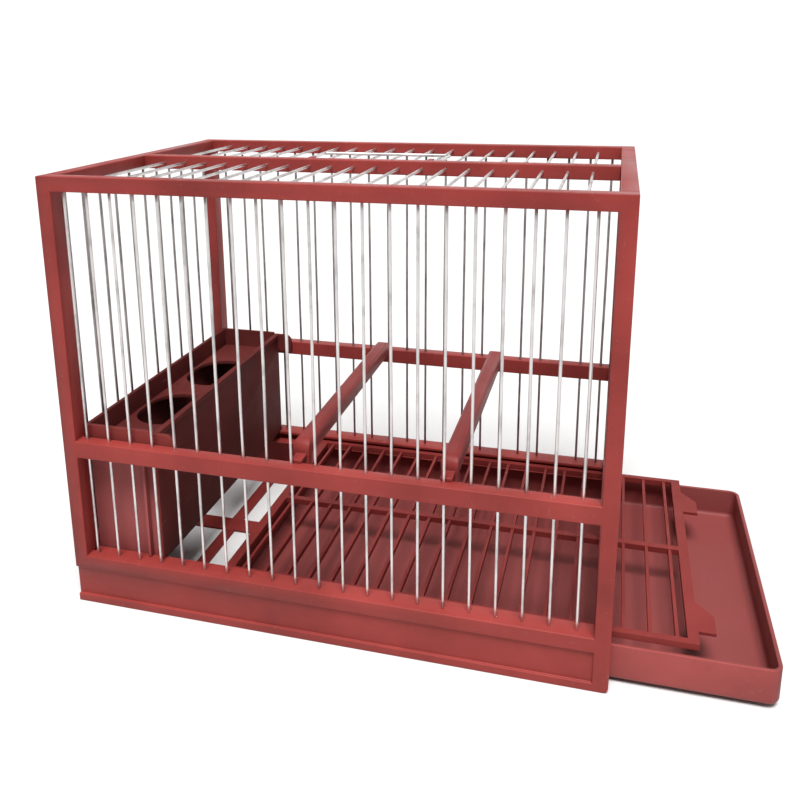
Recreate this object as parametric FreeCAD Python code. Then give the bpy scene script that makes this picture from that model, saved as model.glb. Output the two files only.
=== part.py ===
import FreeCAD, Part
import os

# Small moulded bird cage with pushed-in steel bars, a pull-out tray and a
# pull-out floor grille. All lengths in millimetres.
# Origin: centre of the footprint on the ground. X runs along the long side
# towards the tray's end, Y to the back, Z up.

os.makedirs("parts", exist_ok=True)

# ---- cage frame ----
HALF_X = 150.0
HALF_Y = 100.0
HEIGHT = 250.0
BAR = 8.0                    # square section of posts and top rails
MID_LOW = 91.8               # middle rail
MID_TOP = 101.5
SILL_TOP = 30.0
SILL_INNER_Y = 88.0          # inner edge of the sill's ledge
LEDGE_LOW = 27.8
LEDGE_GAP = 1.0              # the ledge stops this far from the left post
RUNNER_INNER_Y = 83.0        # inner edge of the runner under the grille
RUNNER_LOW = 22.3
RUNNER_TOP = 23.4
SKIRT_INNER_Y = 93.0
RECESS_DEPTH = 1.5
RECESS_LOW = 4.5
RECESS_TOP = 22.0
RECESS_END_X = 142.0
CORNER_ROUND = 3.0           # worn-proof bottom corner at the tray's end
IN_X = HALF_X - BAR
IN_Y = HALF_Y - BAR
TOP_LOW = HEIGHT - BAR

# ---- bars ----
WIRE_R = 0.8
SIDE_WIRE_PITCH = 13.55
FRONT_WIRE_SHIFT = -2.2      # the front bars stand a little to the left
BACK_WIRE_SHIFT = 1.2
WIRE_Y = 94.8
SIDE_WIRE_COUNT = 21
ROOF_WIRE_COUNT = 20
ROOF_WIRE_PITCH = 13.44
ROOF_WIRE_Z = 246.0
ROOF_WIRE_HALF_Y = 97.0
END_WIRE_PITCH = 16.4
END_WIRE_COUNT = 11
LEFT_WIRE_X = -146.0
RIGHT_WIRE_X = 147.5
WIRE_EMBED = 3.0             # depth of a bar's end inside a rail

# ---- left end ----
LEFT_SKIRT_INNER_X = -145.0
LEFT_SILL_TOP = 38.0
LEFT_POST_INNER_Y = 89.5     # the left posts are deeper than the rails

# ---- right end with its doorway ----
RIGHT_SILL_LOW = 28.5
RIGHT_SILL_TOP = 36.5
DOORWAY_HALF_Y = 42.0
GUIDE_OUTER_Y = 48.0
GROOVE_X0 = 143.0
GROOVE_X1 = 146.0
GROOVE_OUTER_Y = 44.0
HEADER_X0 = 146.3
HEADER_LOW = 172.0
HEADER_TOP = 178.0

# ---- sliding door ----
DOOR_X0 = 143.3
DOOR_X1 = 145.7
DOOR_HALF_Y = 43.7
DOOR_LOW = 101.7
DOOR_TOP = 174.5
DOOR_BAR = 5.0
DOOR_WIRE_R = 0.8
DOOR_WIRE_COUNT = 5
TAB_HALF_Y = 10.0
TAB_X1 = 149.5
TAB_LOW = 103.0
TAB_TOP = 106.7

# ---- feeder at the left end ----
SHELF_X0 = -141.3
SHELF_X1 = -99.8
SHELF_HALF_Y = 91.3
SHELF_LOW = 93.6
SHELF_TOP = 96.0
SHELF_RIM = 2.2
SHELF_RIM_TOP = 108.5
CUP_HOLE_R = 17.5
CUP_HOLE_STRAIGHT = 13.0     # straight middle of each oblong cup hole
CUP_HOLE_X = -119.6
CUP_HOLE_Y = 32.5
PARTITION_X0 = -99.5
PARTITION_X1 = -97.0
PARTITION_BEAD_X1 = -96.0
PARTITION_BEAD_LOW = 104.5
PARTITION_TOP = 107.5
PARTITION_LOW = 27.7
PARTITION_STEP_X1 = -98.2    # thinner foot under that level
HOOK_X1 = -86.0
HOOK_LOW = 95.0
HOOK_ROUND = 5.0
HOOK_THICK = 2.4
WALL_X0 = -141.3
WALL_OUTER_Y = 87.6
WALL_THICK = 2.0
WALL_LOW = 27.7
RIB_LOW = 30.2
LEFT_WALL_X1 = -139.3
RIB_X0 = -107.2
RIB_X1 = -105.4

# ---- perches ----
PERCH_XS = (-13.6, 66.4)
PERCH_WIDE = 9.0
PERCH_LOW = 101.6
PERCH_TOP = 111.0
PERCH_HALF_Y = 85.5
PERCH_ROUND = 3.0            # round along both upper edges
PERCH_SHOULDER = 6.0         # round over each end
PERCH_FOOT_LONG = 5.0        # foot that drops behind the rail at each end
PERCH_FOOT_LOW = 96.5
TONGUE_WIDE = 6.0            # thin tongues that rest on the middle rails
TONGUE_TOP = 103.4
TONGUE_HALF_Y = 93.6

# ---- base ----
BASE_TOP = 1.8
BASE_LONG_Y0 = -8.0
BASE_LONG_Y1 = 5.4
BASE_CROSS_CENTRES = (-96.7, 96.7)
BASE_CROSS_WIDE = 7.6

# ---- tray, drawn pulled part-way out ----
TRAY_X0 = -64.0
TRAY_X1 = 230.0
TRAY_HALF_Y = 91.0
TRAY_LOW = 2.0
TRAY_TOP = 22.0
TRAY_WALL = 2.0
TRAY_FLOOR = 2.2
TRAY_CORNER = 6.0
TRAY_FOOT_ROUND = 3.0
TRAY_INNER_ROUND = 2.5

# ---- floor grille, drawn pulled part-way out ----
GRILLE_X0 = -62.6
GRILLE_X1 = 192.0
GRILLE_HALF_Y = 87.0
GRILLE_LOW = 23.6
GRILLE_TOP = 27.2
GRILLE_END_BAR = 5.5
GRILLE_SIDE_BAR = 4.0
GRILLE_SPINE_HALF_Y = 2.2
GRILLE_RIB = 1.8
GRILLE_RIB_PITCH = 13.0
GRILLE_RIB_COUNT = 19
GRILLE_RIB_TOP = 26.8
GRILLE_TAB_LONG = 8.6
GRILLE_TAB_LOW = 25.4
GRILLE_TAB_SPANS = ((-76.5, -51.0), (44.5, 70.0))
GRILLE_TAB_SLOPE = 11.0      # only the rear flank of each tab slopes

# ---- roof rail and carrying bail ----
ROOF_RAIL_HALF_Y = 4.0
LUG_X0 = 34.8
LUG_X1 = 37.6
LUG_Y1 = 11.0
LUG_LOW = 244.5
PIVOT_Y = 8.0
PIVOT_Z = 248.0
PIVOT_BORE_R = 1.07
BAIL_R = 1.0
BAIL_STUB_X = 34.8
BAIL_ARM_X = 40.5
BAIL_CROSS_Y = 44.5
BAIL_BEND_R = 2.6


def save(shape, node):
    shape.exportStep("parts/" + node + ".step")


def block(x0, x1, y0, y1, z0, z1):
    corner = FreeCAD.Vector(min(x0, x1), min(y0, y1), min(z0, z1))
    return Part.makeBox(abs(x1 - x0), abs(y1 - y0), abs(z1 - z0), corner)


def joined(shapes):
    solid = shapes[0]
    for other in shapes[1:]:
        solid = solid.fuse(other)
    return solid.removeSplitter()


def rod(start, end, radius):
    first = FreeCAD.Vector(*start)
    along = FreeCAD.Vector(*end) - first
    return Part.makeCylinder(radius, along.Length, first, along)


def spread(count, pitch):
    """Positions of count items at a pitch, centred on zero."""
    return [(i - (count - 1) / 2.0) * pitch for i in range(count)]


def side_frame(side):
    """Front (side -1) or back (side +1) moulding with its two posts."""
    outer = side * HALF_Y
    inner = side * IN_Y
    skirt = side * SKIRT_INNER_Y
    bars = [
        block(-HALF_X, -IN_X, outer, inner, 0, HEIGHT),
        block(IN_X, HALF_X, outer, inner, 0, HEIGHT),
        block(-HALF_X, HALF_X, outer, inner, TOP_LOW, HEIGHT),
        block(-HALF_X, HALF_X, outer, inner, MID_LOW, MID_TOP),
        block(-IN_X, IN_X, outer, skirt, 0, SILL_TOP),
        block(LEDGE_GAP - IN_X, IN_X, outer, side * SILL_INNER_Y, LEDGE_LOW, SILL_TOP),
        block(-IN_X, IN_X, outer, side * RUNNER_INNER_Y, RUNNER_LOW, RUNNER_TOP),
        block(-HALF_X, -IN_X, outer, side * LEFT_POST_INNER_Y, SILL_TOP, TOP_LOW),
    ]
    frame = joined(bars)
    panel = block(-HALF_X - 1, RECESS_END_X, outer, outer - side * RECESS_DEPTH,
                  RECESS_LOW, RECESS_TOP)
    frame = frame.cut(panel)
    corner = [e for e in frame.Edges
              if abs(e.BoundBox.XMin - HALF_X) < 0.01
              and abs(e.BoundBox.ZMax) < 0.01
              and e.BoundBox.YLength > BAR - 1]
    return frame.makeFillet(CORNER_ROUND, corner)


def side_wires(side, shift):
    """Upright bars of a long side, running through the middle rail."""
    y = side * WIRE_Y
    z0 = SILL_TOP - WIRE_EMBED
    z1 = TOP_LOW + WIRE_EMBED
    rods = [rod((x + shift, y, z0), (x + shift, y, z1), WIRE_R)
            for x in spread(SIDE_WIRE_COUNT, SIDE_WIRE_PITCH)]
    return Part.makeCompound(rods)


def roof_wires():
    z = ROOF_WIRE_Z
    rods = [rod((x, -ROOF_WIRE_HALF_Y, z), (x, ROOF_WIRE_HALF_Y, z), WIRE_R)
            for x in spread(ROOF_WIRE_COUNT, ROOF_WIRE_PITCH)]
    return Part.makeCompound(rods)


def left_end_frame():
    """Closed end behind the feeder: rails between the posts and a skirt."""
    post = LEFT_POST_INNER_Y
    bars = [
        block(-HALF_X, -IN_X, -IN_Y, IN_Y, TOP_LOW, HEIGHT),
        block(-HALF_X, -IN_X, -post, post, MID_LOW, MID_TOP),
        block(-HALF_X, -IN_X, -post, post, SILL_TOP, LEFT_SILL_TOP),
        block(-HALF_X, LEFT_SKIRT_INNER_X, -IN_Y, IN_Y, 0, SILL_TOP),
    ]
    return joined(bars)


def left_end_wires():
    z0 = LEFT_SILL_TOP - WIRE_EMBED
    z1 = TOP_LOW + WIRE_EMBED
    rods = [rod((LEFT_WIRE_X, y, z0), (LEFT_WIRE_X, y, z1), WIRE_R)
            for y in spread(END_WIRE_COUNT, END_WIRE_PITCH)]
    return Part.makeCompound(rods)


def right_end_frame():
    """Open end: the tray leaves below the sill, the door slides above."""
    bars = [
        block(IN_X, HALF_X, -IN_Y, IN_Y, TOP_LOW, HEIGHT),
        block(IN_X, HALF_X, -IN_Y, IN_Y, MID_LOW, MID_TOP),
        block(IN_X, HALF_X, -IN_Y, IN_Y, RIGHT_SILL_LOW, RIGHT_SILL_TOP),
        block(HEADER_X0, HALF_X, -DOORWAY_HALF_Y, DOORWAY_HALF_Y,
              HEADER_LOW, HEADER_TOP),
    ]
    for side in (-1, 1):
        bars.append(block(IN_X, HALF_X, side * DOORWAY_HALF_Y,
                          side * GUIDE_OUTER_Y, MID_TOP, TOP_LOW))
    frame = joined(bars)
    for side in (-1, 1):
        groove = block(GROOVE_X0, GROOVE_X1, side * (DOORWAY_HALF_Y - 1),
                       side * GROOVE_OUTER_Y, MID_TOP, TOP_LOW)
        frame = frame.cut(groove)
    return frame


def right_end_wires():
    """Bars beside, below and above the doorway."""
    x = RIGHT_WIRE_X
    z0 = RIGHT_SILL_TOP - WIRE_EMBED
    z1 = TOP_LOW + WIRE_EMBED
    rods = []
    for y in spread(END_WIRE_COUNT, END_WIRE_PITCH):
        if abs(y) > GUIDE_OUTER_Y:
            rods.append(rod((x, y, z0), (x, y, z1), WIRE_R))
            continue
        rods.append(rod((x, y, z0), (x, y, MID_LOW + WIRE_EMBED), WIRE_R))
        rods.append(rod((x, y, HEADER_TOP - WIRE_EMBED), (x, y, z1), WIRE_R))
    return Part.makeCompound(rods)


def door_frame():
    outside = block(DOOR_X0, DOOR_X1, -DOOR_HALF_Y, DOOR_HALF_Y, DOOR_LOW, DOOR_TOP)
    inside = block(DOOR_X0 - 1, DOOR_X1 + 1, -DOOR_HALF_Y + DOOR_BAR,
                   DOOR_HALF_Y - DOOR_BAR, DOOR_LOW + DOOR_BAR, DOOR_TOP - DOOR_BAR)
    tab = block(DOOR_X1, TAB_X1, -TAB_HALF_Y, TAB_HALF_Y, TAB_LOW, TAB_TOP)
    return joined([outside.cut(inside), tab])


def door_wires():
    x = (DOOR_X0 + DOOR_X1) / 2.0
    z0 = DOOR_LOW + DOOR_BAR - WIRE_EMBED
    z1 = DOOR_TOP - DOOR_BAR + WIRE_EMBED
    rods = [rod((x, y, z0), (x, y, z1), DOOR_WIRE_R)
            for y in spread(DOOR_WIRE_COUNT, END_WIRE_PITCH)]
    return Part.makeCompound(rods)


def cup_hole(y):
    """Oblong cutter, longer along Y."""
    half = CUP_HOLE_STRAIGHT / 2.0
    z0 = SHELF_LOW - 1
    z1 = SHELF_TOP + 1
    ends = [rod((CUP_HOLE_X, y + s * half, z0), (CUP_HOLE_X, y + s * half, z1),
                CUP_HOLE_R) for s in (-1, 1)]
    middle = block(CUP_HOLE_X - CUP_HOLE_R, CUP_HOLE_X + CUP_HOLE_R,
                   y - half, y + half, z0, z1)
    return joined(ends + [middle])


def feeder_shelf():
    """Shallow shelf with a rim on three sides and two cup holes."""
    outer = block(SHELF_X0, SHELF_X1, -SHELF_HALF_Y, SHELF_HALF_Y,
                  SHELF_LOW, SHELF_RIM_TOP)
    hollow = block(SHELF_X0 + SHELF_RIM, SHELF_X1 + 1, -SHELF_HALF_Y + SHELF_RIM,
                   SHELF_HALF_Y - SHELF_RIM, SHELF_TOP, SHELF_RIM_TOP + 1)
    shelf = outer.cut(hollow)
    for y in (-CUP_HOLE_Y, CUP_HOLE_Y):
        shelf = shelf.cut(cup_hole(y))
    return shelf


def hook(side):
    """Rounded ear that hangs the partition beside the middle rail."""
    y1 = side * SHELF_HALF_Y
    y0 = y1 - side * HOOK_THICK
    ear = block(PARTITION_X0, HOOK_X1, y0, y1, HOOK_LOW, PARTITION_TOP)
    top = [e for e in ear.Edges
           if e.BoundBox.YLength > HOOK_THICK / 2.0
           and abs(e.BoundBox.XMin - HOOK_X1) < 0.01
           and abs(e.BoundBox.ZMin - PARTITION_TOP) < 0.01]
    return ear.makeFillet(HOOK_ROUND, top)


def feeder_partition():
    """Upright wall between the feeder and the bird's space."""
    shapes = [
        block(PARTITION_X0, PARTITION_X1, -SHELF_HALF_Y, SHELF_HALF_Y,
              SILL_TOP, PARTITION_TOP),
        block(PARTITION_X0, PARTITION_STEP_X1, -WALL_OUTER_Y, WALL_OUTER_Y,
              PARTITION_LOW, SILL_TOP),
        block(PARTITION_X0, PARTITION_BEAD_X1, -SHELF_HALF_Y, SHELF_HALF_Y,
              PARTITION_BEAD_LOW, PARTITION_TOP),
    ]
    for side in (-1, 1):
        shapes.append(hook(side))
    return joined(shapes)


def feeder_wall(side):
    """Closing wall under the shelf, with one upright rib outside."""
    outer = side * WALL_OUTER_Y
    inner = outer - side * WALL_THICK
    rib_out = side * SHELF_HALF_Y
    wall = block(WALL_X0, SHELF_X1, outer, inner, WALL_LOW, SHELF_LOW)
    rib = block(RIB_X0, RIB_X1, inner, rib_out, RIB_LOW, SHELF_LOW)
    return joined([wall, rib])


def feeder_left_wall():
    inner = WALL_OUTER_Y - WALL_THICK
    return block(WALL_X0, LEFT_WALL_X1, -inner, inner, WALL_LOW, SHELF_LOW)


def perch(x):
    """Rounded cross bar with a foot and a thin tongue at each end."""
    half = PERCH_WIDE / 2.0
    bar = block(x - half, x + half, -PERCH_HALF_Y, PERCH_HALF_Y,
                PERCH_FOOT_LOW, PERCH_TOP)
    upper = [e for e in bar.Edges if abs(e.BoundBox.ZMin - PERCH_TOP) < 0.01]
    ends = [e for e in upper if e.BoundBox.XLength > half]
    sides = [e for e in upper if e.BoundBox.YLength > half]
    foot_y = PERCH_HALF_Y - PERCH_FOOT_LONG
    under = block(x - half - 1, x + half + 1, -foot_y, foot_y,
                  PERCH_FOOT_LOW - 1, PERCH_LOW)
    body = bar.makeFillet(PERCH_SHOULDER, ends).cut(under)
    body = body.common(bar.makeFillet(PERCH_ROUND, sides))
    half = TONGUE_WIDE / 2.0
    tongues = block(x - half, x + half, -TONGUE_HALF_Y, TONGUE_HALF_Y,
                    PERCH_LOW, TONGUE_TOP)
    return joined([body, tongues])


def base_cross_rails():
    """Rails from skirt to skirt on both sides of the long rail, and the end tie."""
    half = BASE_CROSS_WIDE / 2.0
    rails = [block(IN_X, HALF_X - CORNER_ROUND, -IN_Y, IN_Y, 0, BASE_TOP)]
    for x in BASE_CROSS_CENTRES:
        for y0, y1 in ((-SKIRT_INNER_Y, BASE_LONG_Y0), (BASE_LONG_Y1, SKIRT_INNER_Y)):
            rails.append(block(x - half, x + half, y0, y1, 0, BASE_TOP))
    return Part.makeCompound(rails)


def upright_edges(shape):
    return [e for e in shape.Edges
            if e.BoundBox.XLength < 0.01 and e.BoundBox.YLength < 0.01]


def bottom_edges(shape):
    low = shape.BoundBox.ZMin
    return [e for e in shape.Edges if abs(e.BoundBox.ZMax - low) < 0.01]


def rounded_pan(x0, x1, half_y, z0, z1, corner, foot):
    """Block with rounded upright corners and a rounded bottom edge."""
    pan = block(x0, x1, -half_y, half_y, z0, z1)
    pan = pan.makeFillet(corner, upright_edges(pan))
    return pan.makeFillet(foot, bottom_edges(pan))


def tray():
    outer = rounded_pan(TRAY_X0, TRAY_X1, TRAY_HALF_Y, TRAY_LOW, TRAY_TOP,
                        TRAY_CORNER, TRAY_FOOT_ROUND)
    inner = rounded_pan(TRAY_X0 + TRAY_WALL, TRAY_X1 - TRAY_WALL,
                        TRAY_HALF_Y - TRAY_WALL, TRAY_LOW + TRAY_FLOOR,
                        TRAY_TOP + 5, TRAY_CORNER - TRAY_WALL, TRAY_INNER_ROUND)
    return outer.cut(inner)


def grille_tab(y0, y1):
    """Finger tab on the grille's outer end; only its rear flank slopes."""
    x0 = GRILLE_X1
    x1 = x0 + GRILLE_TAB_LONG
    points = [
        FreeCAD.Vector(x0 - 1, y0, GRILLE_TAB_LOW),
        FreeCAD.Vector(x1, y0, GRILLE_TAB_LOW),
        FreeCAD.Vector(x1, y1 - GRILLE_TAB_SLOPE, GRILLE_TAB_LOW),
        FreeCAD.Vector(x0, y1, GRILLE_TAB_LOW),
        FreeCAD.Vector(x0 - 1, y1, GRILLE_TAB_LOW),
    ]
    face = Part.Face(Part.makePolygon(points + points[:1]))
    return face.extrude(FreeCAD.Vector(0, 0, GRILLE_TOP - GRILLE_TAB_LOW))


def floor_grille():
    """Flat frame with cross ribs and a spine, over the tray."""
    z0 = GRILLE_LOW
    inner_y = GRILLE_HALF_Y - GRILLE_SIDE_BAR
    shapes = [
        block(GRILLE_X0, GRILLE_X0 + GRILLE_END_BAR, -GRILLE_HALF_Y, GRILLE_HALF_Y,
              z0, GRILLE_TOP),
        block(GRILLE_X1 - GRILLE_END_BAR, GRILLE_X1, -GRILLE_HALF_Y, GRILLE_HALF_Y,
              z0, GRILLE_TOP),
        block(GRILLE_X0, GRILLE_X1, -GRILLE_SPINE_HALF_Y, GRILLE_SPINE_HALF_Y,
              z0, GRILLE_TOP),
    ]
    for side in (-1, 1):
        shapes.append(block(GRILLE_X0, GRILLE_X1, side * inner_y,
                            side * GRILLE_HALF_Y, z0, GRILLE_TOP))
    for y0, y1 in GRILLE_TAB_SPANS:
        shapes.append(grille_tab(y0, y1))
    centre = (GRILLE_X0 + GRILLE_X1) / 2.0
    for x in spread(GRILLE_RIB_COUNT, GRILLE_RIB_PITCH):
        shapes.append(block(centre + x - GRILLE_RIB / 2.0, centre + x + GRILLE_RIB / 2.0,
                            -inner_y - 1, inner_y + 1, z0, GRILLE_RIB_TOP))
    return joined(shapes)


def roof_centre_rail():
    return block(-IN_X, IN_X, -ROOF_RAIL_HALF_Y, ROOF_RAIL_HALF_Y, TOP_LOW, HEIGHT)


def handle_lugs():
    """Two bored lugs behind the roof's centre rail."""
    lugs = []
    for side in (-1, 1):
        lug = block(side * LUG_X0, side * LUG_X1, ROOF_RAIL_HALF_Y, LUG_Y1,
                    LUG_LOW, HEIGHT)
        bore = rod((side * (LUG_X0 - 1), PIVOT_Y, PIVOT_Z),
                   (side * (LUG_X1 + 1), PIVOT_Y, PIVOT_Z), PIVOT_BORE_R)
        lugs.append(lug.cut(bore))
    return Part.makeCompound(lugs)


def bent_rod(corners, bend, radius):
    """Round rod through corner points, with a round bend at each corner."""
    points = [FreeCAD.Vector(*c) for c in corners]
    edges = []
    start = points[0]
    for before, corner, after in zip(points, points[1:], points[2:]):
        into = (corner - before).normalize()
        away = (after - corner).normalize()
        first = corner - into * bend
        last = corner + away * bend
        centre = corner - into * bend + away * bend
        middle = centre + (corner - centre).normalize() * bend
        edges.append(Part.makeLine(start, first))
        edges.append(Part.Arc(first, middle, last).toShape())
        start = last
    edges.append(Part.makeLine(start, points[-1]))
    path = Part.Wire(edges)
    along = points[1] - points[0]
    section = Part.Wire([Part.makeCircle(radius, points[0], along)])
    return path.makePipeShell([section], True, True)


def handle():
    """Wire bail, folded back flat over the roof bars."""
    corners = [
        (-BAIL_STUB_X, PIVOT_Y, PIVOT_Z),
        (-BAIL_ARM_X, PIVOT_Y, PIVOT_Z),
        (-BAIL_ARM_X, BAIL_CROSS_Y, PIVOT_Z),
        (BAIL_ARM_X, BAIL_CROSS_Y, PIVOT_Z),
        (BAIL_ARM_X, PIVOT_Y, PIVOT_Z),
        (BAIL_STUB_X, PIVOT_Y, PIVOT_Z),
    ]
    return bent_rod(corners, BAIL_BEND_R, BAIL_R)


save(side_frame(-1), "front_frame")
save(side_frame(1), "back_frame")
save(side_wires(-1, FRONT_WIRE_SHIFT), "front_wires")
save(side_wires(1, BACK_WIRE_SHIFT), "back_wires")
save(left_end_frame(), "left_end_frame")
save(left_end_wires(), "left_end_wires")
save(right_end_frame(), "right_end_frame")
save(right_end_wires(), "right_end_wires")
save(roof_centre_rail(), "roof_centre_rail")
save(roof_wires(), "roof_wires")
save(handle_lugs(), "handle_lugs")
save(handle(), "handle_bail")
save(door_frame(), "door_frame")
save(door_wires(), "door_wires")
save(feeder_shelf(), "feeder_shelf")
save(feeder_partition(), "feeder_partition")
save(feeder_wall(-1), "feeder_front_wall")
save(feeder_wall(1), "feeder_back_wall")
save(feeder_left_wall(), "feeder_left_wall")
save(perch(PERCH_XS[0]), "perch_left")
save(perch(PERCH_XS[1]), "perch_right")
save(block(LEFT_SKIRT_INNER_X, IN_X, BASE_LONG_Y0, BASE_LONG_Y1,
           0, BASE_TOP), "base_long_rail")
save(base_cross_rails(), "base_cross_rails")
save(tray(), "tray")
save(floor_grille(), "floor_grille")
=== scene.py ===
import math
import random

import bmesh
import bpy
from mathutils import Matrix, Vector


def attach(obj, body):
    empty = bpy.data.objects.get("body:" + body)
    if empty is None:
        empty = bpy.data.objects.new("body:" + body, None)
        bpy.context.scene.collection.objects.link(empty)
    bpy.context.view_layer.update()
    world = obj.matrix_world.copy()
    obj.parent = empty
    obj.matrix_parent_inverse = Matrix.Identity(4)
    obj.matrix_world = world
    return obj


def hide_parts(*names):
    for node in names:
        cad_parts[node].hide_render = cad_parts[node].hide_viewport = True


# Looks of a small moulded bird cage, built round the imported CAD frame.
# All lengths in metres unless a name says otherwise.

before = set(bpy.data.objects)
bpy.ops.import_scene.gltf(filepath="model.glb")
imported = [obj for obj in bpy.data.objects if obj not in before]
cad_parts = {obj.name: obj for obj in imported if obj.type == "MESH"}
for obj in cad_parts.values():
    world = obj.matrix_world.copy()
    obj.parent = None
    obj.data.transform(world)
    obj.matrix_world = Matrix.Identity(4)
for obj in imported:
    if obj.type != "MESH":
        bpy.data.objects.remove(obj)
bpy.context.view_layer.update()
MM = 0.001

# ---- camera ----
CAMERA_PLACE = (0.1398, -0.4827, 0.3095)
CAMERA_TURN = math.radians(16.0)       # from looking along +Y towards -X
CAMERA_TILT = math.radians(14.15)      # below the horizon
CAMERA_ROLL = math.radians(-0.68)
SENSOR = 36.0
LENS = 39.0
SHIFT_X = 0.0372
SHIFT_Y = -0.160

# ---- pieces ----
FRAME_EDGE = 0.7 * MM                  # softened edges of the thick mouldings
THIN_EDGE = 0.35 * MM                  # and of the thin ones
EDGE_ANGLE = math.radians(35.0)        # edges sharper than this are softened
WELD_GAP = 0.01 * MM
FLAT_ANGLE = math.radians(1.0)         # faces closer than this count as one
WIRE_SIDES = 10
WIRE_STEP = 8.0 * MM
WIRE_WANDER = 0.14 * MM
SEED = 7

# ---- finish ----
# Faces at this Y and in front of it are painted lighter: painted light on the feeder's lit front.
FEEDER_LIT_FRONT_Y = -91.3 * MM            # front face of the shelf and the partition
# Inward of this Y the tray is painted darker: painted shade on its inner faces.
TRAY_SHADE_EDGE_Y = 90.0 * MM              # middle of the tray's side walls
FLOW_STRETCH = (9.0, 60.0, 60.0)       # moulding streaks run along X
SCUFF_STRETCH = (420.0, 36.0, 300.0)   # scuffs run along Y
DUST_RED = (0.13, 0.03, 0.03)
SPOT_GREY = (0.3, 0.29, 0.28)
MIX_COLOUR_A = 6                       # colour sockets of a Mix node
MIX_COLOUR_B = 7
MIX_COLOUR_OUT = 2

# ---- studio ----
STAGE_HALF = 12.0
STAGE_TALL = 6.0
WALL_GLOW = 0.5
SKY_STRENGTH = 0.22
KEY_AZIMUTH = 12.0                     # degrees; 0 is in front, positive to the right
KEY_HEIGHT = 68.0                      # degrees above the floor
KEY_STRENGTH = 4.7
KEY_SOFTNESS = 26.0                    # degrees across
KEY_COLOUR = (1.0, 0.99, 0.98)


# ---------------------------------------------------------------- materials

class Nodes:
    """Short helper for building a node tree."""

    def __init__(self, name):
        self.material = bpy.data.materials.new(name)
        self.material.use_nodes = True
        self.tree = self.material.node_tree
        self.tree.nodes.clear()
        self.output = self.add("ShaderNodeOutputMaterial")
        self.shader = self.add("ShaderNodeBsdfPrincipled")
        self.link(self.shader, "BSDF", self.output, "Surface")
        self.place = self.add("ShaderNodeTexCoord")

    def add(self, kind, **settings):
        node = self.tree.nodes.new(kind)
        for name, value in settings.items():
            setattr(node, name, value)
        return node

    def link(self, source, output, target, entry):
        self.tree.links.new(source.outputs[output], target.inputs[entry])

    def stretched(self, scale):
        """Object position scaled differently along each axis."""
        mapping = self.add("ShaderNodeMapping")
        mapping.inputs["Scale"].default_value = scale
        self.link(self.place, "Object", mapping, "Vector")
        return mapping

    def noise(self, scale, detail=3.0, roughness=0.55, mapping=None):
        texture = self.add("ShaderNodeTexNoise")
        texture.inputs["Scale"].default_value = scale
        texture.inputs["Detail"].default_value = detail
        texture.inputs["Roughness"].default_value = roughness
        if mapping is None:
            self.link(self.place, "Object", texture, "Vector")
        else:
            self.link(mapping, "Vector", texture, "Vector")
        return texture

    def ramp(self, source, output, stops):
        node = self.add("ShaderNodeValToRGB")
        while len(node.color_ramp.elements) < len(stops):
            node.color_ramp.elements.new(0.5)
        for element, (position, colour) in zip(node.color_ramp.elements, stops):
            element.position = position
            element.color = (*colour, 1.0)
        self.link(source, output, node, "Fac")
        return node

    def between(self, source, output, low, high, new_low, new_high):
        node = self.add("ShaderNodeMapRange")
        node.inputs["From Min"].default_value = low
        node.inputs["From Max"].default_value = high
        node.inputs["To Min"].default_value = new_low
        node.inputs["To Max"].default_value = new_high
        self.link(source, output, node, "Value")
        return node

    def along_y(self, operation, low, high):
        """Amount from 0 to 0.8 as Y, put through the operation, goes from low to high."""
        split = self.add("ShaderNodeSeparateXYZ")
        self.link(self.place, "Object", split, "Vector")
        value = self.add("ShaderNodeMath", operation=operation)
        value.inputs[1].default_value = 0.0
        self.link(split, "Y", value, 0)
        return self.between(value, "Value", low, high, 0.0, 0.8)

    def mix(self, factor, first, first_out, colour):
        """Mixes a linked colour with a fixed one, by a linked map range."""
        node = self.add("ShaderNodeMix", data_type="RGBA", blend_type="MIX")
        self.link(factor, "Result", node, "Factor")
        self.link(first, first_out, node, MIX_COLOUR_A)
        node.inputs[MIX_COLOUR_B].default_value = (*colour, 1.0)
        return node

    def bump(self, source, output, strength, distance, after=None):
        node = self.add("ShaderNodeBump")
        node.inputs["Strength"].default_value = strength
        node.inputs["Distance"].default_value = distance
        self.link(source, output, node, "Height")
        if after is not None:
            self.link(after, "Normal", node, "Normal")
        return node


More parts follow.
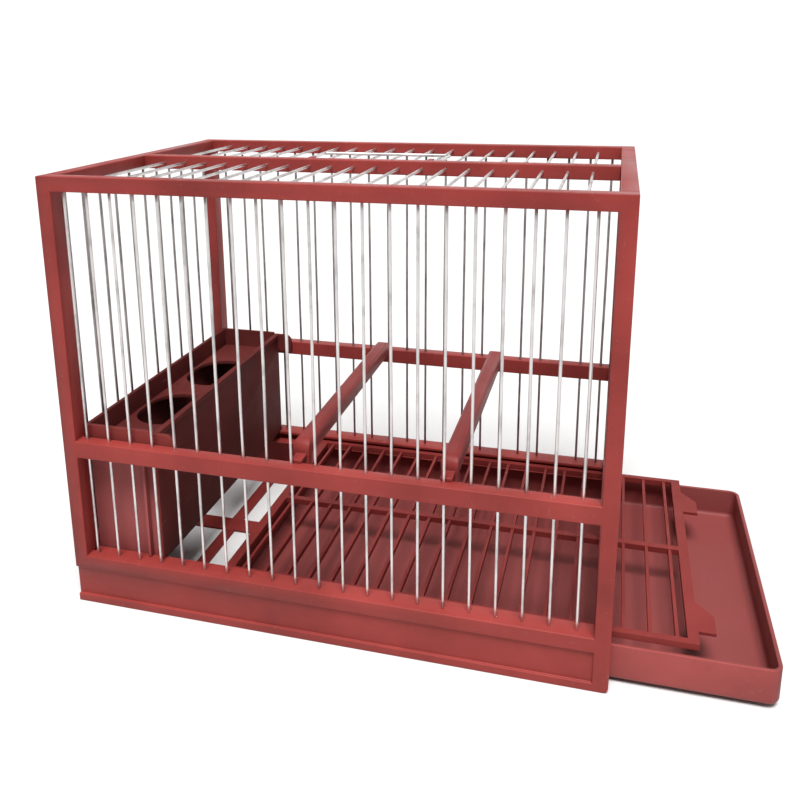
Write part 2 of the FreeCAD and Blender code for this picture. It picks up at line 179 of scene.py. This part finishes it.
def red_plastic(name, base, spread=0.2, rough=0.45, shine=0.2, shaded_interior=None, lit_front_face=None):
    """Moulded plastic: cloudy colour, flow streaks, scuffs and a fine skin.

    The inner entry, (half width along Y, colour), gives faces within that width a darker colour,
    painted shade;
    the front entry, (Y of the front face, colour), gives the front face a lighter colour, painted
    light.
    """
    dark = tuple(c * (1.0 - spread) for c in base)
    pale = tuple(c * (1.0 + 1.1 * spread) + 0.004 for c in base)
    scratch = tuple(0.6 * c + 0.14 for c in base)
    n = Nodes(name)
    cloud = n.noise(14.0, 4.0)
    colour = n.ramp(cloud, "Fac", [(0.3, dark), (0.52, base), (0.78, pale)])

    flow = n.noise(1.0, 5.0, 0.6, n.stretched(FLOW_STRETCH))
    amount = n.between(flow, "Fac", 0.52, 0.78, 0.0, 0.22)
    colour = n.mix(amount, colour, "Color", pale)
    scuff = n.noise(1.0, 6.0, 0.7, n.stretched(SCUFF_STRETCH))
    amount = n.between(scuff, "Fac", 0.62, 0.76, 0.0, 0.45)
    colour = n.mix(amount, colour, MIX_COLOUR_OUT, scratch)
    dust = n.noise(90.0, 2.0)
    amount = n.between(dust, "Fac", 0.62, 0.85, 0.0, 0.16)
    colour = n.mix(amount, colour, MIX_COLOUR_OUT, DUST_RED)
    if shaded_interior is not None:
        # Painted shade: faces within the half width get the darker inner colour.
        half_width, interior_shade_colour = shaded_interior
        amount = n.along_y("ABSOLUTE", half_width + 0.3 * MM, half_width - 0.3 * MM)
        colour = n.mix(amount, colour, MIX_COLOUR_OUT, interior_shade_colour)
    if lit_front_face is not None:
        # Painted light: faces at the front face's Y get the lighter front colour.
        front, front_light_colour = lit_front_face
        amount = n.along_y("ADD", front + 0.8 * MM, front + 0.2 * MM)
        colour = n.mix(amount, colour, MIX_COLOUR_OUT, front_light_colour)
    n.link(colour, MIX_COLOUR_OUT, n.shader, "Base Color")

    gloss = n.between(n.noise(30.0, 5.0), "Fac", 0.3, 0.75, rough - 0.07, rough + 0.12)
    n.link(gloss, "Result", n.shader, "Roughness")
    skin = n.bump(n.noise(1400.0, 2.0), "Fac", 0.05, 0.0004)
    waves = n.bump(n.noise(22.0, 2.0), "Fac", 0.12, 0.002, skin)
    n.link(waves, "Normal", n.shader, "Normal")
    n.shader.inputs["Specular IOR Level"].default_value = shine
    return n.material


def steel_wire(name, base, dull):
    """Galvanised wire with dull patches, grey spots and a slightly rough skin."""
    bright = tuple(1.15 * c for c in base)
    n = Nodes(name)
    patch = n.noise(55.0, 4.0)
    colour = n.ramp(patch, "Fac", [(0.34, dull), (0.5, base), (0.8, bright)])
    amount = n.between(n.noise(260.0, 3.0), "Fac", 0.66, 0.8, 0.0, 0.3)
    colour = n.mix(amount, colour, "Color", SPOT_GREY)
    n.link(colour, MIX_COLOUR_OUT, n.shader, "Base Color")
    n.shader.inputs["Metallic"].default_value = 1.0
    gloss = n.between(n.noise(120.0, 3.0), "Fac", 0.3, 0.7, 0.32, 0.5)
    n.link(gloss, "Result", n.shader, "Roughness")
    skin = n.bump(n.noise(900.0, 2.0), "Fac", 0.12, 0.0002)
    n.link(skin, "Normal", n.shader, "Normal")
    return n.material


def paper(name, glow):
    """Pale backdrop paper; the wall's sheet glows a little, as if lit from behind."""
    n = Nodes(name)
    tone = n.ramp(n.noise(3.0, 2.0), "Fac", [(0.3, (0.66, 0.66, 0.66)), (0.7, (0.70, 0.70, 0.70))])
    n.link(tone, "Color", n.shader, "Base Color")
    n.shader.inputs["Roughness"].default_value = 0.9
    n.shader.inputs["Emission Color"].default_value = (1.0, 1.0, 1.0, 1.0)
    n.shader.inputs["Emission Strength"].default_value = glow
    return n.material


FRAME_RED = red_plastic("frame_red", (0.27, 0.037, 0.032), 0.27)
PERCH_RED = red_plastic("perch_red", (0.235, 0.033, 0.030))
GRILLE_RED = red_plastic("grille_red", (0.195, 0.028, 0.025), shine=0.1)
# Darker feeder plastic, darkened further as painted shade; its front faces are painted lighter, as
# lit.
FEEDER_RED = red_plastic("feeder_red", (0.12, 0.024, 0.022), 0.3, 0.6, 0.05,
                         lit_front_face=(FEEDER_LIT_FRONT_Y, (0.22, 0.040, 0.036)))
WALL_RED = red_plastic("wall_red", (0.29, 0.070, 0.068), 0.25, 0.6)
# The tray's inner faces are painted darker than its outer faces: painted shade.
TRAY_RED = red_plastic("tray_red", (0.285, 0.056, 0.052), 0.2, 0.48,
                       shaded_interior=(TRAY_SHADE_EDGE_Y, (0.20, 0.046, 0.044)))
STEEL = steel_wire("steel_wire", (0.76, 0.74, 0.735), (0.54, 0.52, 0.515))
# A darker copy of the steel: painted shade for the bars behind.
SHADED_STEEL = steel_wire("shaded_steel", (0.36, 0.34, 0.335), (0.22, 0.20, 0.20))


# ---------------------------------------------------------------- meshes

def new_object(name, mesh, material, body, node):
    """Links a piece, gives it its finish and hides the CAD node it replaces."""
    obj = bpy.data.objects.new(name, mesh)
    bpy.context.scene.collection.objects.link(obj)
    obj.data.materials.append(material)
    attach(obj, body)
    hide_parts(node)
    return obj


def mesh_from(bm, name):
    """Turns a finished bmesh into a mesh and frees it."""
    mesh = bpy.data.meshes.new(name)
    bm.to_mesh(mesh)
    bm.free()
    return mesh


def welded(node):
    """The CAD node's mesh as a bmesh with its seams joined."""
    bm = bmesh.new()
    bm.from_mesh(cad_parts[node].data)
    bmesh.ops.remove_doubles(bm, verts=bm.verts, dist=WELD_GAP)
    return bm


def clean_copy(node, flat):
    """The node's shape as a welded mesh without the seams in its flat faces."""
    bm = welded(node)
    bmesh.ops.dissolve_limit(bm, angle_limit=FLAT_ANGLE, verts=bm.verts,
                             edges=bm.edges, delimit=set())
    if flat:
        bmesh.ops.connect_verts_concave(bm, faces=bm.faces)
    for face in bm.faces:
        face.smooth = not flat
    return mesh_from(bm, node + "_shape")


def refined(node, material, body, edge, segments=3, flat=False):
    """A moulded piece with the CAD node's shape and softened edges."""
    obj = new_object(node + "_moulding", clean_copy(node, flat), material, body, node)
    bevel = obj.modifiers.new("soft_edges", "BEVEL")
    bevel.width = edge
    bevel.segments = segments
    bevel.limit_method = "ANGLE"
    bevel.angle_limit = EDGE_ANGLE
    bevel.harden_normals = not flat
    return obj


def islands(node):
    """Boxes of a node's separate solids, as (low, high) pairs."""
    bm = welded(node)
    seen = set()
    boxes = []
    for start in bm.verts:
        if start in seen:
            continue
        seen.add(start)
        stack = [start]
        low = start.co.copy()
        high = start.co.copy()
        while stack:
            vertex = stack.pop()
            low = Vector(map(min, low, vertex.co))
            high = Vector(map(max, high, vertex.co))
            for edge in vertex.link_edges:
                other = edge.other_vert(vertex)
                if other not in seen:
                    seen.add(other)
                    stack.append(other)
        boxes.append((low, high))
    bm.free()
    return sorted(boxes, key=lambda b: tuple((b[0] + b[1]) / 2))


def wandering_tube(bm, low, high, chance):
    """A drawn wire between two ends, a little off straight between them."""
    size = high - low
    axis = max(range(3), key=lambda i: size[i])
    across = [i for i in range(3) if i != axis]
    radius = size[across[0]] / 2.0
    middle = (low + high) / 2.0
    steps = max(4, round(size[axis] / WIRE_STEP))
    waves = [(chance.uniform(0.4, 1.0), chance.randint(1, 3), chance.uniform(0, math.tau))
             for _ in range(4)]
    rings = []
    for i in range(steps + 1):
        t = i / steps
        hold = math.sin(math.pi * t)
        centre = middle.copy()
        centre[axis] = low[axis] + size[axis] * t
        for k, a in enumerate(across):
            size_1, times_1, phase_1 = waves[2 * k]
            size_2, times_2, phase_2 = waves[2 * k + 1]
            sway = size_1 * math.sin(math.tau * t * times_1 / 2 + phase_1)
            sway += 0.5 * size_2 * math.sin(math.tau * t * times_2 + phase_2)
            centre[a] += WIRE_WANDER * hold * sway
        ring = []
        for s in range(WIRE_SIDES):
            angle = math.tau * s / WIRE_SIDES
            point = centre.copy()
            point[across[0]] += radius * math.cos(angle)
            point[across[1]] += radius * math.sin(angle)
            ring.append(bm.verts.new(point))
        rings.append(ring)
    for first, second in zip(rings, rings[1:]):
        for s in range(WIRE_SIDES):
            after = (s + 1) % WIRE_SIDES
            bm.faces.new((first[s], first[after], second[after], second[s]))
    bm.faces.new(list(reversed(rings[0])))
    bm.faces.new(rings[-1])


def wire_set(node, body, seed, material):
    """One piece holding all the drawn wires of a CAD node."""
    chance = random.Random(seed)
    bm = bmesh.new()
    for low, high in islands(node):
        wandering_tube(bm, low, high, chance)
    bmesh.ops.recalc_face_normals(bm, faces=bm.faces)
    for face in bm.faces:
        face.smooth = len(face.verts) == 4
    mesh = mesh_from(bm, node + "_drawn")
    return new_object(node + "_drawn", mesh, material, body, node)


# ---------------------------------------------------------------- the cage

def build_frames():
    for node in ("front_frame", "back_frame", "left_end_frame", "right_end_frame",
                 "roof_centre_rail"):
        refined(node, FRAME_RED, "cage", FRAME_EDGE)
    refined("handle_lugs", FRAME_RED, "cage", THIN_EDGE, 2)
    for node in ("base_long_rail", "base_cross_rails"):
        refined(node, GRILLE_RED, "cage", THIN_EDGE, 2)


def build_feeder():
    for node in ("feeder_shelf", "feeder_partition", "feeder_back_wall",
                 "feeder_left_wall"):
        refined(node, FEEDER_RED, "cage", THIN_EDGE)
    refined("feeder_front_wall", WALL_RED, "cage", THIN_EDGE)


def build_perches():
    for node in ("perch_left", "perch_right"):
        refined(node, PERCH_RED, "cage", THIN_EDGE)


def build_sliding_pieces():
    refined("floor_grille", GRILLE_RED, "grille", THIN_EDGE * 0.6, 2, flat=True)
    refined("tray", TRAY_RED, "tray", THIN_EDGE, 3)
    refined("door_frame", FRAME_RED, "door", THIN_EDGE)


def build_wires():
    """Bars near the front are bright; those behind and at the left end get a darker copy of the
    steel, painted shade.
    """
    for i, node in enumerate(("front_wires", "right_end_wires", "roof_wires")):
        wire_set(node, "cage", SEED + i, STEEL)
    for i, node in enumerate(("back_wires", "left_end_wires")):
        wire_set(node, "cage", SEED + 5 + i, SHADED_STEEL)
    wire_set("door_wires", "door", SEED + 9, STEEL)
    refined("handle_bail", STEEL, "bail", THIN_EDGE * 0.3, 1)


# ---------------------------------------------------------------- the studio

def stage_sheet(name, glow, corners):
    """One flat four-sided sheet of backdrop paper."""
    bm = bmesh.new()
    bm.faces.new([bm.verts.new(c) for c in corners])
    sheet = bpy.data.objects.new(name, mesh_from(bm, name))
    sheet.data.materials.append(paper(name + "_paper", glow))
    bpy.context.scene.collection.objects.link(sheet)


def build_stage():
    """Pale floor and a pale wall far behind it."""
    stage_sheet("floor", 0.0, [(-STAGE_HALF, -STAGE_HALF, 0), (STAGE_HALF, -STAGE_HALF, 0),
                               (STAGE_HALF, STAGE_HALF, 0), (-STAGE_HALF, STAGE_HALF, 0)])
    stage_sheet("wall", WALL_GLOW, [(-STAGE_HALF, STAGE_HALF, 0), (STAGE_HALF, STAGE_HALF, 0),
                                    (STAGE_HALF, STAGE_HALF, STAGE_TALL),
                                    (-STAGE_HALF, STAGE_HALF, STAGE_TALL)])


def build_key_light():
    """Even soft light from above the front."""
    data = bpy.data.lights.new("key", "SUN")
    data.energy = KEY_STRENGTH
    data.angle = math.radians(KEY_SOFTNESS)
    data.color = KEY_COLOUR
    light = bpy.data.objects.new("key", data)
    bpy.context.scene.collection.objects.link(light)
    side = math.radians(KEY_AZIMUTH)
    up = math.radians(KEY_HEIGHT)
    towards = Vector((math.sin(side) * math.cos(up), -math.cos(side) * math.cos(up),
                      math.sin(up)))
    light.rotation_euler = towards.to_track_quat("Z", "Y").to_euler()


def build_lights():
    world = bpy.data.worlds.new("studio")
    bpy.context.scene.world = world
    world.use_nodes = True
    background = world.node_tree.nodes["Background"]
    background.inputs["Color"].default_value = (1.0, 1.0, 1.0, 1.0)
    background.inputs["Strength"].default_value = SKY_STRENGTH
    build_key_light()
    bpy.context.scene.view_settings.view_transform = "Standard"
    bpy.context.scene.view_settings.look = "None"


def build_camera():
    data = bpy.data.cameras.new("camera")
    data.sensor_width = SENSOR
    data.lens = LENS
    data.shift_x = SHIFT_X
    data.shift_y = SHIFT_Y
    data.clip_start = 0.01
    data.clip_end = 50.0
    camera = bpy.data.objects.new("camera", data)
    bpy.context.scene.collection.objects.link(camera)
    look = Matrix.Rotation(CAMERA_TURN, 4, "Z")
    look = look @ Matrix.Rotation(math.radians(90.0) - CAMERA_TILT, 4, "X")
    look = look @ Matrix.Rotation(CAMERA_ROLL, 4, "Z")
    camera.matrix_world = Matrix.Translation(CAMERA_PLACE) @ look
    bpy.context.scene.camera = camera


build_camera()
build_frames()
build_feeder()
build_perches()
build_sliding_pieces()
build_wires()
build_stage()
build_lights()
